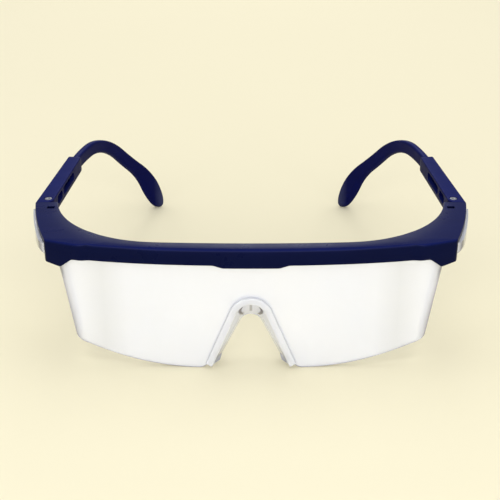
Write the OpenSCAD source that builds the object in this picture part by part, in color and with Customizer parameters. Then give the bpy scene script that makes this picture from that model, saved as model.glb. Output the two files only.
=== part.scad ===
// Safety glasses: brow frame, wraparound lens, clip-on nose saddle and two
// temples, each a sleeve that folds on a pin and an arm that slides in it.
// Millimetres. The wearer faces -Y, +Z is up, and left is the wearer's left (+X).
// Parts are drawn from the front of the brow bar's top edge, then moved so that
// the origin is under the middle of the glasses, on the surface they stand on.

/* [Brow frame] */
// Radius of the brow's front edge at the middle, seen from above
brow_r = 460; // [400:5:520]
// Half width at which the brow's curve has grown by half again
brow_wrap = 93; // [88:1:110]
// Half width of the brow's front, out to the corner blocks
corner_x = 68.1; // [66:0.1:70]
// Thickness of the top shelf
shelf_t = 2.2; // [1.8:0.1:2.6]
// Thickness of the front face
fascia_t = 1.5; // [1.2:0.1:1.6]
// Height of the front face
fascia_h = 6; // [5:0.1:7]
// Height of the front face at the centre tab
tab_h = 7; // [6:0.1:8]
// Height of the corner blocks
block_h = 9.3; // [8.4:0.1:10]
// Height of the hinge ends and of the sleeves
end_h = 7.2; // [7:0.1:8]

/* [Lens] */
// Thickness of the lens
lens_t = 1.8; // [1.6:0.1:1.9]
// Height of the glasses: from the frame's top to the lens's lowest edge
lens_drop = 45.8; // [43:0.1:49]
// Height of the side shields
shield_h = 35; // [28:0.5:38]

/* [Nose] */
// Distance of the nose cut-out's top below the frame's top
nose_top = 19.3; // [17:0.1:22]
// Radius of the nose cut-out's top
nose_r = 6.55; // [6:0.05:7.5]
// Slope of the nose cut-out's sides, in degrees below level
nose_slope = 68; // [64:1:70]
// Depth of the nose saddle behind the lens
saddle_depth = 9.4; // [7:0.1:11]

/* [Hinge] */
// Radius of the hinge pin
pin_r = 1; // [0.9:0.05:1.1]
// Running clearance between the pin and the sleeve
pin_fit = 0.05; // [0.02:0.01:0.1]
// Gap between the frame's end and the sleeve
joint_gap = 0.15; // [0.1:0.05:0.2]

/* [Temple] */
// Length of the sleeve behind the joint
sleeve_l = 44.9; // [42:0.1:50]
// Width of the sleeve at its mouth
mouth_w = 5.1; // [5:0.1:5.6]
// Inward slant of the temple when open, in degrees
temple_slant = 6.2; // [5:0.1:8]
// Radius of the ear piece, seen from above
ear_r = 91; // [85:1:120]
// Thickness of the ear piece
ear_t = 3; // [2.6:0.1:3.2]
// Number of length settings
notches = 5; // [3:1:6]
// Distance between length settings
notch_pitch = 3.75; // [3:0.25:4]

/* [Hidden] */

navy = "#23265c";
clear = [0.86, 0.9, 0.95, 0.45];
steel = "#9a9da3";
eps = 0.01;
far = 200;

// Brow frame, seen from above
corner_y = brow_y(corner_x);
side_slope = 0.394;
side_curve = 0.00406;
joint_y = 38.65;
joint_x = side_x(joint_y);
inner_mid_y = 5.2;
inner_arc_x = 30.2;
inner_arc_y = 6;
inner_arc_r = 38.6;
end_len = 3.2;
plan_steps = 14;
side_plan_steps = 6;
strip_steps = 28;
tab_half = 9.4;
tab_slant = 3.1;
block_in_x = 59.2;
block_tip_x = 63.2;
block_out_x = 67.6;
block_out_h = 8.3;
facet_start = 53.6;
facet_x = 56;
facet_out = 0.9;

// Lens groove and the lens's place in it
groove_w = 2.1;
lip_t = 0.8;
lip_h = 4.6;
lip_half = 46;
lens_y = fascia_t + 0.1;
lens_top = shelf_t + 0.2;
lens_proud = 0.85;
wall_gap = 0.4;
wall_t = 1.5;
wall_h = 6;
wall_y = 24;

// Lens outline
foot_r = 4;
flat_half = nose_foot_x();
bottom_rise = 0.005;
top_turn_x = 66.7;
top_turn_r = 7;
top_turn_end = 72;
low_turn_x = 58.7;
low_turn_r = 6;
low_turn_end = 80;
low_turn_z = -20;
low_corner_z = -37;
side_taper = 0.17;
upper_bend = 12;
shield_start_y = 11.2;
shield_end_y = 38.1;
shield_mid_y = 8.6;
shield_reach = 30.2;
shoulder_front = [5.5, 10];
shoulder_rear = [11, 21];
arch_steps = 6;
leg_steps = 5;
foot_steps = 4;
front_steps = 12;
turn_steps = 5;
side_steps = 8;
rows = 13;
row_crowding = 1.25;

// Window for the lens's tab, in the shelf beside each hinge
window_x = 70.2;
window_y = 34.1;
window_w = 2.6;
window_l = 1.9;
window_drop = 2.4;
tab_clear = 0.25;
tab_arm_t = 1.75;
tab_hook_drop = 1;
tab_rise = 0.3;

// Hinge
pin_in = 3.95;
knuckle_r = 3.4;
knuckle_side = 2.3;
pin_x = joint_x - pin_in;
pin_y = joint_y + joint_gap + knuckle_r;
tongue_t = 2.8;
tongue_r = 2.15;
tongue_z = -3.8;
fork_gap = 0.1;
fork_depth = 0.15;
head_r = 1.3;
head_t = 0.6;
head_gap = 0.08;
head_drop = 0.05;

// Sleeve, from its mouth's outer top corner, with +Y to the rear
mouth_x = joint_x - sleeve_l * tan(temple_slant);
mouth_y = joint_y + joint_gap + sleeve_l;
channel_w = 2.9;
channel_h = 4.4;
channel_l = 37.8;
channel_x = -2.4;
channel_z = -3.5;
slot_h = 3.2;
slot_z = -2.6;
long_slot = [-28.5, -12.5];
short_slot = [-37.4, -30.2];
edge_cut = 1.8;
edge_start = 4;
edge_fade = 3.5;

// Arm
arm_fit = 0.2;
arm_x = channel_x;
arm_start = 0.2;
shank_l = 34;
neck_h = 5.6;
bend_h = 4.8;
tip_h = 5.9;
tip_l = 12.9;
tip_low = 2.2;
neck_l = 15.5;
bend_r = 31.5;
bend_angle = 46.6;
hook_r = 35.2;
hook_angle = 21.6;
tip_turn = bend_angle + hook_angle;
tip_reach = norm([tip_l * sin(tip_turn), tip_low * cos(tip_turn)])
    + (tip_h / 2 - tip_low) * cos(tip_turn);
drop_l = (lens_drop - tip_reach + channel_z - bend_r * (1 - cos(bend_angle))
    - hook_r * (cos(bend_angle) - cos(tip_turn))) / sin(bend_angle);
arc_steps = 8;
cap_steps = 16;
notch_r = 0.6;
notch_first = 4.5;

// Nose saddle
clip_t = 1;
clip_gap = 0.12;
clip_over = 1;
web_t = 1.5;
saddle_top = 30;
saddle_r = 4;
saddle_slope = 61;
saddle_end = 43.3;
saddle_t = 1.4;
saddle_foot_y = 3.6;
saddle_leg_y = 6.6;
saddle_draw = 1.2;
saddle_inset = 0.4;
saddle_behind = 0.6;
bridge_foot_turn = 12;

// Origin: the middle of the whole length, on the lowest point
outer_r = ear_r + ear_t / 2;
ear_reach = max([for (p = arm_outline()) p.x]);
ear_turn = asin(ear_reach / outer_r) + temple_slant;
rear_y = mouth_y + (arm_x - ear_r) * sin(temple_slant) + outer_r * sin(ear_turn);

// Curve of the brow at x, the same with the corner blocks' flat facets standing
// proud of it, and the outer edge of the frame's side at y
function brow_y(x) = x * x / (2 * brow_r) * (1 + pow(x / brow_wrap, 2));
function front_y(x) = brow_y(x) - facet_out * unit((x - facet_start) / (facet_x - facet_start))
    * unit((corner_x - x) / (corner_x - facet_x));
function brow_heading(x) = atan(x / brow_r * (1 + 2 * pow(x / brow_wrap, 2)));
function side_x(y) = corner_x + side_slope * (y - corner_y) - side_curve * pow(y - corner_y, 2);

function unit(t) = min(1, max(0, t));
function mix(a, b, t) = a * (1 - t) + b * t;
function smooth(t) = t <= 0 ? 0 : t >= 1 ? 1 : t * t * (3 - 2 * t);
function reverse(list) = [for (i = [len(list) - 1 : -1 : 0]) list[i]];
function ramp(a, b, n) = [for (i = [0 : n]) a + (b - a) * i / n];

// Points of an arc about a centre
function arc(centre, r, from, to, n) =
    [for (a = ramp(from, to, n)) centre + r * [cos(a), sin(a)]];

// Right half of the nose cut-out, moved by n towards the nose: an arc over the
// nose, a straight side, and a rounded foot that ends along the lens's bottom
function nose_leg() =
    (lens_drop - nose_top - (nose_r + foot_r) * (1 - cos(nose_slope))) / sin(nose_slope);
function nose_foot_x() = (nose_r + foot_r) * sin(nose_slope) + nose_leg() * cos(nose_slope);
function nose_side(n) = [0, -nose_top - nose_r] + (nose_r - n) * [sin(nose_slope), cos(nose_slope)];
function nose_foot(n) =
    nose_side(n) + nose_leg() * [cos(nose_slope), -sin(nose_slope)];
function nose_arch(n, foot_turn) = concat(
    arc([0, -nose_top - nose_r], nose_r - n, 90, 90 - nose_slope, arch_steps),
    [for (t = [1 : leg_steps]) mix(nose_side(n), nose_foot(n), t / leg_steps)],
    [for (t = [1 : foot_steps])
        let (a = 90 - nose_slope + foot_turn * t / foot_steps)
        [nose_foot_x(), -lens_drop + foot_r] - (foot_r + n) * [cos(a), sin(a)]]
);

// Closed skin over cross-sections that are strips: each section runs down one
// face and back up the other, so point j faces point n - 1 - j
module skin(sections) {
    n = len(sections[0]);
    last = (len(sections) - 1) * n;
    walls = [
        for (i = [0 : len(sections) - 2], j = [0 : n - 1])
        let (a = i * n + j, b = i * n + (j + 1) % n)
        each [[b, a, a + n], [b + n, b, a + n]]
    ];
    caps = [
        for (j = [0 : n / 2 - 2])
        each [
            [j, j + 1, n - 1 - j], [n - 1 - j, j + 1, n - 2 - j],
            [last + j + 1, last + j, last + n - 1 - j],
            [last + n - 2 - j, last + j + 1, last + n - 1 - j]
        ]
    ];
    polyhedron([for (s = sections) each s], concat(walls, caps), convexity = 8);
}

// Mirror-image sections to the left of the middle one, then the given half
function both_sides(half) = concat(
    [for (s = reverse(half)) [for (p = s) [-p.x, p.y, p.z]]],
    [for (i = [1 : len(half) - 1]) half[i]]
);

module both_ends() {
    children();
    mirror([1, 0, 0]) children();
}

// ---- Lens ----

// How far the lens's wall still follows the frame's side at a depth below the
// top: 1 beside the frame, 0 below the shoulder. t runs along the side shield.
function shoulder(z, t) =
    let (s = mix(shoulder_front, shoulder_rear, t))
    1 - smooth((-z - s[0]) / (s[1] - s[0]));
function low_x(z) = low_turn_x + side_taper * (z - low_turn_z);
function front_point(x, inset) = let (h = brow_heading(x))
    [x, brow_y(x) + lens_y] + inset * [-sin(h), cos(h)];
function turn_point(x, r, end, t, inset) =
    let (start = brow_heading(x), h = mix(start, end, t))
    front_point(x, 0) + r * [sin(h) - sin(start), cos(start) - cos(h)] + inset * [-sin(h), cos(h)];

// Along the side: the upper wall bends gently to the frame's end, the lower wall
// runs straight back
function upper_side(t, inset) =
    let (a = turn_point(top_turn_x, top_turn_r, top_turn_end, 1, 0),
         b = a + upper_bend * [cos(top_turn_end), sin(top_turn_end)],
         c = [side_x(shield_end_y) + lens_proud, shield_end_y],
         p = mix(mix(a, b, t), mix(b, c, t), t),
         d = mix(b - a, c - b, t))
    p + inset * [-d.y, d.x] / norm(d);
function lower_side(z, t, inset) =
    let (a = turn_point(low_x(z), low_turn_r, low_turn_end, 1, 0),
         run = (shield_end_y - a.y) / sin(low_turn_end))
    a + t * run * [cos(low_turn_end), sin(low_turn_end)]
        + inset * [-sin(low_turn_end), cos(low_turn_end)];

function front_bottom(x) = -lens_drop + bottom_rise * pow(max(0, x - flat_half), 2);
function side_bottom(y) =
    -lens_top - shield_h * sqrt(1 - pow((y - shield_mid_y) / shield_reach, 2));

// One vertical section: outer face from top to bottom, then inner face back up
function section(column, bottom) =
    let (drops = [for (v = ramp(0, 1, rows)) mix(-lens_top, bottom, pow(v, row_crowding))])
    concat([for (z = drops) column(z, 0)], [for (z = reverse(drops)) column(z, lens_t)]);
function at(p, z) = [p.x, p.y, z];

function lens_half() =
    let (corner = low_x(low_corner_z))
    concat(
        [for (p = nose_arch(0, nose_slope))
            section(function(z, i) at(front_point(p.x, i), z), p.y)],
        [for (k = [1 : front_steps]) let (t = k / front_steps)
            section(
                function(z, i)
                    at(front_point(mix(flat_half, mix(low_x(z), top_turn_x, shoulder(z, 0)), t), i), z),
                front_bottom(mix(flat_half, corner, t)))],
        [for (k = [1 : turn_steps]) let (t = k / turn_steps)
            section(
                function(z, i)
                    at(mix(turn_point(low_x(z), low_turn_r, low_turn_end, t, i),
                        turn_point(top_turn_x, top_turn_r, top_turn_end, t, i), shoulder(z, 0)), z),
                mix(front_bottom(corner), side_bottom(shield_start_y), t))],
        [for (k = [1 : side_steps]) let (t = k / side_steps)
            section(
                function(z, i)
                    at(mix(lower_side(z, t, i), upper_side(t, i), shoulder(z, t)), z),
                side_bottom(mix(shield_start_y, shield_end_y, t)))]
    );

// Tab that passes through the frame's side wall and hooks up into its window
module lens_tab() {
    tab_l = window_l - 2 * tab_clear;
    tab_in = window_x - window_w / 2 + tab_clear;
    translate([tab_in, window_y - tab_l / 2, -lens_top - tab_arm_t])
        cube([side_x(window_y) - tab_in, tab_l, tab_arm_t - eps]);
    translate([tab_in, window_y - tab_l / 2, -lens_top - tab_hook_drop])
        cube([window_w - 2 * tab_clear, tab_l, lens_top + tab_hook_drop - shelf_t / 2 + tab_rise]);
}

module lens() {
    color(clear) {
        skin(both_sides(lens_half()));
        both_ends() lens_tab();
    }
}

// ---- Brow frame ----

module shelf_plan() {
    end_angle = asin((joint_y - inner_arc_y - inner_arc_r) / inner_arc_r);
    half = concat(
        [for (x = ramp(0, facet_start, plan_steps)) [x, brow_y(x)]],
        [[facet_x, front_y(facet_x)], [corner_x, corner_y]],
        [for (y = ramp(corner_y, joint_y, side_plan_steps)) if (y > corner_y) [side_x(y), y]],
        arc([inner_arc_x, inner_arc_y + inner_arc_r], inner_arc_r, end_angle, -90, plan_steps),
        [for (x = ramp(inner_arc_x, 0, side_plan_steps)) if (x < inner_arc_x)
            [x, mix(inner_mid_y, inner_arc_y, pow(x / inner_arc_x, 2))]]
    );
    both_ends() polygon(half);
}

// Strip along the brow's curve, from y0 to y1 behind its front edge
module brow_strip(y0, y1, half) {
    xs = ramp(-half, half, strip_steps);
    polygon(concat([for (x = xs) [x, brow_y(x) + y0]], [for (x = reverse(xs)) [x, brow_y(x) + y1]]));
}

// Front face seen from the front, as a solid that runs front to back
module front_outline() {
    half = [
        [0, -tab_h], [tab_half, -tab_h], [tab_half + tab_slant, -fascia_h],
        [block_in_x, -fascia_h], [block_tip_x, -block_h], [block_out_x, -block_out_h],
        [far, -block_out_h], [far, 0], [0, 0]
    ];
    translate([0, corner_x / 2, 0]) rotate([90, 0, 0])
        linear_extrude(corner_x) both_ends() polygon(half);
}

module fascia() {
    intersection() {
        translate([0, 0, -block_h]) linear_extrude(block_h) intersection() {
            brow_strip(-2 * facet_out, fascia_t, corner_x + 1);
            shelf_plan();
        }
        front_outline();
    }
}

module side_wall() {
    inset = lens_t - lens_proud + wall_gap;
    ys = ramp(wall_y, joint_y, side_plan_steps);
    difference() {
        translate([0, 0, -wall_h]) linear_extrude(wall_h)
            polygon(concat([for (y = ys) [side_x(y) - inset, y]],
                [for (y = reverse(ys)) [side_x(y) - inset - wall_t, y]]));
        translate([window_x, window_y - window_l / 2, -shelf_t - window_drop])
            cube([far, window_l, window_drop]);
    }
}

module hinge_end() {
    inset = lens_t - lens_proud + wall_gap;
    front = joint_y - end_len;
    intersection() {
        translate([0, 0, -end_h]) linear_extrude(end_h) shelf_plan();
        translate([0, 0, -end_h]) linear_extrude(end_h) polygon([
            [side_x(front) - inset, front], [joint_x - inset, joint_y],
            [joint_x - 2 * end_h, joint_y], [joint_x - 2 * end_h, front]
        ]);
    }
    translate([0, 0, tongue_z - tongue_t / 2]) linear_extrude(tongue_t) {
        translate([pin_x, pin_y]) circle(tongue_r, $fn = 64);
        translate([pin_x - tongue_r, joint_y - eps]) square([2 * tongue_r, pin_y - joint_y]);
    }
}

module brow_frame() {
    color(navy) difference() {
        union() {
            translate([0, 0, -shelf_t]) linear_extrude(shelf_t) shelf_plan();
            fascia();
            translate([0, 0, -lip_h]) linear_extrude(lip_h)
                brow_strip(fascia_t + groove_w, fascia_t + groove_w + lip_t, lip_half);
            both_ends() {
                side_wall();
                hinge_end();
            }
        }
        both_ends() {
            translate([window_x - window_w / 2, window_y - window_l / 2, -shelf_t - 1])
                cube([window_w, window_l, shelf_t + 2]);
            translate([pin_x, pin_y, -end_h]) cylinder(r = pin_r, h = end_h, $fn = 48);
        }
    }
}

// ---- Nose saddle ----

// Points of the cut-out's curve as [x, y, z], with y from the lens's front face
function clip_section(i, over, under) =
    let (edge = nose_arch(0, bridge_foot_turn)[i], face = brow_y(edge.x) + lens_y,
         o = nose_arch(over, bridge_foot_turn)[i], u = nose_arch(under, bridge_foot_turn)[i],
         w = nose_arch(clip_gap, bridge_foot_turn)[i],
         front = face - clip_gap, back = face + lens_t + clip_gap)
    [
        [o.x, front - clip_t, o.y], [u.x, front - clip_t, u.y],
        [u.x, back + clip_t, u.y], [o.x, back + clip_t, o.y],
        [o.x, back, o.y], [w.x, back, w.y], [w.x, front, w.y], [o.x, front, o.y]
    ];

// Rear edge of the saddle, n towards the nose: an arc, a straight side, and a
// short end that draws in towards the lens
function saddle_side(n) = [0, -saddle_top - saddle_r]
    + (saddle_r - n) * [sin(saddle_slope), cos(saddle_slope)];
function saddle_arch(n) =
    let (a = saddle_side(n), run = (saddle_end + a.y) / sin(saddle_slope),
         slope = [cos(saddle_slope), -sin(saddle_slope)])
    concat(
        [for (p = arc([0, -saddle_top - saddle_r], saddle_r - n, 90, 90 - saddle_slope, arch_steps))
            [p.x, lens_y + saddle_depth, p.y]],
        [for (t = [1 : leg_steps]) let (p = a + slope * run * t / leg_steps)
            [p.x, lens_y + mix(saddle_depth, saddle_leg_y, t / leg_steps), p.y]],
        [for (t = [1 : foot_steps]) let (p = a + slope * (run + saddle_draw * t / foot_steps))
            [p.x, lens_y + mix(saddle_leg_y, saddle_foot_y, t / foot_steps), p.y]]
    );

module nose_bridge() {
    count = arch_steps + leg_steps + foot_steps;
    inner = nose_arch(web_t, bridge_foot_turn);
    outer = nose_arch(2 * clip_gap, bridge_foot_turn);
    color(clear) {
        skin(both_sides([for (i = [0 : count]) clip_section(i, -clip_over, web_t)]));
        skin(both_sides([
            for (i = [0 : count])
            let (face = brow_y(inner[i].x) + lens_y)
            [
                [inner[i].x, face + saddle_inset, inner[i].y], saddle_arch(0)[i],
                saddle_arch(-saddle_t)[i], [outer[i].x, face + lens_t + saddle_behind, outer[i].y]
            ]
        ]));
    }
}

// ---- Hinge pin ----

module hinge_pin() {
    color(steel) translate([pin_x, pin_y, 0]) {
        translate([0, 0, -head_t - head_drop]) cylinder(r = head_r, h = head_t, $fn = 48);
        translate([0, 0, 2 * head_drop - end_h])
            cylinder(r = pin_r, h = end_h - head_t - 2 * head_drop, $fn = 48);
    }
}

// ---- Temple sleeve ----

module at_mouth() {
    translate([mouth_x, mouth_y, 0]) rotate([0, 0, temple_slant]) children();
}

module sleeve_plan() {
    mouth = [mouth_x, mouth_y];
    polygon(concat(
        [[joint_x, joint_y + joint_gap], mouth,
            mouth - mouth_w * [cos(temple_slant), sin(temple_slant)]],
        [for (a = ramp(180, 270, 8)) [pin_x + knuckle_side * cos(a), pin_y + knuckle_r * sin(a)]]
    ));
}

// Bevel along the sleeve's lower inner edge, fading out before the knuckle
module inner_bevel() {
    mouth = [mouth_x, mouth_y] - mouth_w * [cos(temple_slant), sin(temple_slant)];
    run = mouth - [pin_x - knuckle_side, pin_y];
    translate([mouth.x, mouth.y, -end_h]) rotate([90, 0, atan(-run.x / run.y)]) {
        translate([0, 0, -1]) linear_extrude(norm(run) + 1 - edge_start - edge_fade) bevel_section(edge_cut);
        hull() for (d = [0, edge_fade])
            translate([0, 0, norm(run) - edge_start - edge_fade + d - eps])
                linear_extrude(eps) bevel_section(edge_cut * (1 - d / edge_fade));
    }
}

module bevel_section(size) {
    polygon([[-1, size + 1], [size + 1, -1], [-1, -1]]);
}

// Slot with round ends through the sleeve's inner wall
module side_slot(span) {
    r = slot_h / 2;
    translate([-far, 0, slot_z]) rotate([90, 0, 90]) linear_extrude(far + channel_x) {
        translate([span[0] + r, -r]) square([span[1] - span[0] - 2 * r, slot_h]);
        for (y = [span[0] + r, span[1] - r]) translate([y, 0]) circle(r, $fn = 48);
    }
}

module temple_sleeve() {
    slot_z0 = tongue_z - tongue_t / 2 - fork_gap;
    color(navy) difference() {
        translate([0, 0, -end_h]) linear_extrude(end_h) sleeve_plan();
        inner_bevel();
        translate([pin_x - far / 2, joint_y - 1, slot_z0])
            cube([far, pin_y + tongue_r + fork_depth - joint_y + 1, tongue_t + 2 * fork_gap]);
        translate([pin_x, pin_y, -end_h - 1])
            cylinder(r = pin_r + pin_fit, h = end_h + 2, $fn = 48);
        translate([pin_x, pin_y, -head_t - head_drop - head_gap])
            cylinder(r = head_r + head_gap, h = 2 * head_t, $fn = 48);
        at_mouth() {
            translate([channel_x - channel_w / 2, -channel_l, channel_z - channel_h / 2])
                cube([channel_w, channel_l + 1, channel_h]);
            side_slot(long_slot);
            side_slot(short_slot);
        }
    }
}

// ---- Temple arm ----

// Middle line of the ear piece as [y, z, heading, height], heading below level
function bend_line(p, r, from, turn, h0, h1) = [
    for (t = ramp(0, 1, arc_steps)) let (a = from + turn * t)
    [p.x + r * (sin(a) - sin(from)), p.y - r * (cos(from) - cos(a)), a, mix(h0, h1, t)]
];
function ear_line() =
    let (bend = bend_line([neck_l, channel_z], bend_r, 0, bend_angle, neck_h, bend_h),
         b = bend[arc_steps],
         drop = [b.x + drop_l * cos(bend_angle), b.y - drop_l * sin(bend_angle)])
    concat([[arm_start, channel_z, 0, neck_h]], bend,
        bend_line(drop, hook_r, bend_angle, hook_angle, bend_h, tip_h));
function tip_point() = let (l = ear_line()) l[len(l) - 1];

// Point past the end of the middle line, along it and square to it
function past_tip(along, across) =
    let (tip = tip_point())
    [tip.x, tip.y] + along * [cos(tip_turn), -sin(tip_turn)] + across * [sin(tip_turn), cos(tip_turn)];
function arm_outline() =
    let (line = ear_line())
    concat(
        [for (p = line) [p.x, p.y] + p[3] / 2 * [sin(p[2]), cos(p[2])]],
        [for (a = ramp(0, 180, cap_steps))
            past_tip(tip_l * sin(a), tip_low - tip_h / 2 + (a < 90 ? tip_h - tip_low : tip_low) * cos(a))],
        [for (p = reverse(line)) [p.x, p.y] - p[3] / 2 * [sin(p[2]), cos(p[2])]]
    );

module ear_piece() {
    intersection() {
        translate([arm_x - ear_r, 0, -2 * lens_drop]) difference() {
            cylinder(r = ear_r + ear_t / 2, h = 2 * lens_drop, $fn = 360);
            translate([0, 0, -1]) cylinder(r = ear_r - ear_t / 2, h = 2 * lens_drop + 2, $fn = 360);
        }
        translate([-ear_r / 2, 0, 0]) rotate([90, 0, 90]) linear_extrude(ear_r) polygon(arm_outline());
    }
}

module shank() {
    shank_w = channel_w - 2 * arm_fit;
    shank_h = channel_h - 2 * arm_fit;
    difference() {
        translate([channel_x - shank_w / 2, -shank_l, channel_z - shank_h / 2])
            cube([shank_w, shank_l + 2 * arm_start, shank_h]);
        for (i = [0 : notches - 1])
            translate([channel_x - shank_w / 2, -shank_l + notch_first + i * notch_pitch, -end_h])
                cylinder(r = notch_r, h = end_h, $fn = 24);
    }
}

module temple_arm() {
    color(navy) at_mouth() {
        shank();
        ear_piece();
    }
}

translate([0, -rear_y / 2, lens_drop]) {
    brow_frame();
    lens();
    nose_bridge();
    temple_sleeve();  // temple_sleeve_left
    mirror([1, 0, 0]) temple_sleeve();  // temple_sleeve_right
    temple_arm();  // temple_arm_left
    mirror([1, 0, 0]) temple_arm();  // temple_arm_right
    hinge_pin();  // hinge_pin_left
    mirror([1, 0, 0]) hinge_pin();  // hinge_pin_right
}
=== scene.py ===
import math

import bmesh
import bpy
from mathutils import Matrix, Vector


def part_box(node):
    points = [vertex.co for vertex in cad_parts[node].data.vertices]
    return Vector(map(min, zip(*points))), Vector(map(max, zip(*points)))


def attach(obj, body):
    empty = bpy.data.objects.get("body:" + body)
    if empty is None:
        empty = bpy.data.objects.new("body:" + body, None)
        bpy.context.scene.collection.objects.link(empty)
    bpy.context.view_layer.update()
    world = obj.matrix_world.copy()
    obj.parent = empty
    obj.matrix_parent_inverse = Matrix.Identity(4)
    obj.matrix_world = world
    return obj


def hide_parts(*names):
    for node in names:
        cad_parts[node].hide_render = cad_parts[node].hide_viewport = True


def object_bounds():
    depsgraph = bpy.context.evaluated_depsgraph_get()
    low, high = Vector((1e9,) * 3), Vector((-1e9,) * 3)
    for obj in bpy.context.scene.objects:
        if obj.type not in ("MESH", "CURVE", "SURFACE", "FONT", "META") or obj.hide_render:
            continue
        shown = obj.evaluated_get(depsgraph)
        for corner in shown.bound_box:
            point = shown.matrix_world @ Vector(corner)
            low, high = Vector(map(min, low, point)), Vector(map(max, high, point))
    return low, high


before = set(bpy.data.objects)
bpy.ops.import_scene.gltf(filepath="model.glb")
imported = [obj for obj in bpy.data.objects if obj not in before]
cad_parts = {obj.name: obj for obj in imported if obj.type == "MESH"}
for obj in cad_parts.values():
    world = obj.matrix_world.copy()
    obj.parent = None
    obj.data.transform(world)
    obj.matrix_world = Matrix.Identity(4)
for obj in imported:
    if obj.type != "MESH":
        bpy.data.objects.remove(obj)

cad_lo, cad_hi = [list(v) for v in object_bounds()]

# ---------------------------------------------------------------- sizes
# Millimetres and degrees, as in part.scad: x from the middle, y backwards from the front of
# the brow bar's top edge, z from the frame's top, so that all below it is negative.
DROP = (cad_hi[2] - cad_lo[2]) * 1000

# Brow frame: the curve of its front, its shelf and front face, and the centre tab below
BROW_R, BROW_WRAP, CORNER_X = 460, 93, 68.1
SHELF_T, FASCIA_T, FASCIA_H, TAB_H, BLOCK_H, END_H = 2.2, 1.5, 6, 7, 9.3, 7.2
TAB_HALF, TAB_SLANT = 9.4, 3.1
# Corner blocks: the flat facet on the front, and the pointed outline below
FACET_START, FACET_X, FACET_OUT, FACET_EDGE_R = 53.6, 56, 0.9, 1.05
BLOCK_IN_X, BLOCK_TIP_X, BLOCK_OUT_X, BLOCK_OUT_H = 59.2, 63.2, 67.6, 8.3
# Sides, inner edge, lens groove, and the walls and solid ends at the hinges
SIDE_SLOPE, SIDE_CURVE = 0.394, 0.00406
INNER_MID_Y, INNER_X, INNER_Y, INNER_R, INNER_TURN_Y = 5.2, 30.2, 6, 38.6, 9.4
GROOVE_W, LIP_T, LIP_H, LIP_HALF, LIP_FADE = 2.1, 0.8, 4.6, 46, 8
WALL_IN, WALL_T, WALL_H, WALL_Y, END_LEN = 1.35, 1.5, 6, 24, 3.2
# Rounding of the frame's section and of its outline
EDGE_R, LOWER_EDGE_R, CORNER_EASE, BLOCK_ROUND, FASCIA_END_X = 0.42, 0.38, 0.55, 0.35, 66.4

# Lens: the sheet, its turns at the front corners, and its side shields
LENS_T, SHIELD_H, LENS_Y, LENS_TOP, LENS_PROUD = 1.8, 35, FASCIA_T + 0.1, SHELF_T + 0.2, 0.85
FOOT_R, BOTTOM_RISE, RIM = 4, 0.005, 0.4
TOP_TURN_X, TOP_TURN_R, TOP_TURN_END = 66.7, 7, 72
LOW_TURN_X, LOW_TURN_R, LOW_TURN_END, LOW_TURN_Z, LOW_CORNER_Z = 58.7, 6, 80, -20, -37
SIDE_TAPER, UPPER_BEND = 0.17, 12
SHIELD_START_Y, SHIELD_END_Y, SHIELD_MID_Y, SHIELD_REACH = 11.2, 38.1, 8.6, 30.2
SHOULDER_FRONT, SHOULDER_REAR = (5.5, 10), (11, 21)

# Nose cut-out, and the saddle clipped round it
NOSE_TOP, NOSE_R, NOSE_SLOPE = 19.3, 6.55, 68
CLIP_T, CLIP_GAP, CLIP_OVER, WEB_T = 1, 0.12, 1, 1.5
SADDLE_DEPTH, SADDLE_TOP, SADDLE_R, SADDLE_SLOPE, SADDLE_END, SADDLE_T = 9.4, 30, 4, 61, 43.3, 1.4
SADDLE_FOOT_Y, SADDLE_LEG_Y, SADDLE_DRAW, SADDLE_INSET, SADDLE_BEHIND = 3.6, 6.6, 1.2, 0.4, 0.6
BRIDGE_FOOT_TURN = 12
ARCH_STEPS, LEG_STEPS, FOOT_STEPS = 24, 18, 12

# Hinges, and the windows in the frame's top for the lens's tabs
JOINT_Y, JOINT_GAP = 38.65, 0.15
WINDOW_X, WINDOW_Y, WINDOW_W, WINDOW_L, WINDOW_DROP = 70.2, 34.1, 2.6, 1.9, 2.4
TAB_CLEAR, TAB_ARM_T, TAB_HOOK_DROP, TAB_RISE, TAB_PAST_SIDE = 0.25, 1.75, 1, 0.3, 0.2
PIN_IN, PIN_R, PIN_CLEAR, HEAD_R, HEAD_T, HEAD_DROP, HEAD_GAP = 3.95, 1, 0.05, 1.3, 0.6, 0.05, 0.08
KNUCKLE_R, KNUCKLE_SIDE = 3.4, 2.3
TONGUE_T, TONGUE_R, TONGUE_Z, FORK_GAP, FORK_DEPTH, FORK_REACH = 2.8, 2.15, -3.8, 0.1, 0.15, 12

# Temple sleeves: the shell, the channel through it and the slots in its inner side
SLEEVE_L, MOUTH_W, MOUTH_EASE, SLANT = 44.9, 5.1, 0.35, 6.2
CHANNEL_W, CHANNEL_H, CHANNEL_L, CHANNEL_X, CHANNEL_Z = 2.9, 4.4, 37.8, -2.4, -3.5
SLOT_H, SLOT_Z, LONG_SLOT, SHORT_SLOT = 3.2, -2.6, (-28.5, -12.5), (-37.4, -30.2)

# Temple arms: the shank in the sleeve, its notches, and the ear piece behind
EAR_R, EAR_T, ARM_START, ARM_FIT, SHANK_L, SHANK_EASE = 91, 3, 0.2, 0.2, 34, 0.4
NECK_H, BEND_H, TIP_H, TIP_L, TIP_LOW, TIP_THIN_L = 5.6, 4.8, 5.9, 12.9, 2.2, 1.6
NECK_L, BEND_R, BEND_ANGLE, HOOK_R, HOOK_ANGLE = 15.5, 31.5, 46.6, 35.2, 21.6
NOTCHES, NOTCH_PITCH, NOTCH_R, NOTCH_FIRST = 5, 3.75, 0.6, 4.5


def sin(a):
    return math.sin(math.radians(a))


def cos(a):
    return math.cos(math.radians(a))


def brow_y(x):
    """The brow's curve, which turns back faster towards the sides."""
    return x * x / (2 * BROW_R) * (1 + (x / BROW_WRAP) ** 2)


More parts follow.
